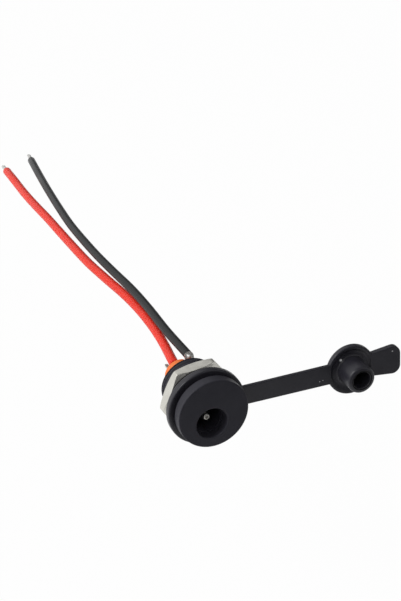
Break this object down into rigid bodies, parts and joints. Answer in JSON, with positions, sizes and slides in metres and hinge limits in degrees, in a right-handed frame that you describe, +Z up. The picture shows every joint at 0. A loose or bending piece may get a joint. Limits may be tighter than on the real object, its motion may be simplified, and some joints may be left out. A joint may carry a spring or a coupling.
{
  "type": "charging port socket",
  "caption": "Round panel charging socket with a flange, threaded barrel, hexagon nut, tethered rubber dust cap, rear insulator with solder lugs, and short stripped leads.",
  "frame": {"origin": "on the barrel's axis, in the plane of the flange's rear face", "axes": "+X to the right seen from the front, +Y along the barrel from the front face to the rear, +Z up; the front face looks along -Y"},
  "size_m": [0.0483, 0.1427, 0.0182],
  "materials": {
    "black_plastic": "satin moulded plastic",
    "orange_plastic": "satin moulded plastic",
    "plated_contact": "nickel plated",
    "nickel_plate": "nickel plated",
    "cap_rubber": "satin moulded rubber",
    "red_pvc": "satin insulation",
    "black_pvc": "satin insulation",
    "tinned_copper": "tinned strands",
    "solder": "bright solder"
  },
  "bodies": {
    "socket": {"housing": "black_plastic", "rear_insulator": "orange_plastic", "center_pin": "plated_contact", "center_lug": "plated_contact", "spring_contact": "plated_contact", "switch_contact": "plated_contact", "red_wire": "red_pvc", "red_wire_tip": "tinned_copper", "red_solder_joint": "solder", "black_wire": "black_pvc", "black_wire_tip": "tinned_copper", "black_solder_joint": "solder"},
    "nut": {"hex_nut": "nickel_plate"},
    "cap": {"dust_cap": "cap_rubber"}
  },
  "joints": [
    {"name": "cap_swivel", "type": "hinge", "parent": "socket", "child": "cap", "pos_m": [0, 0, 0], "axis": [0, 1, 0], "continuous": true},
    {"name": "nut_travel", "type": "slide", "parent": "socket", "child": "nut", "axis": [0, 1, 0], "range_m": [-0.0013, 0.0037]}
  ]
}
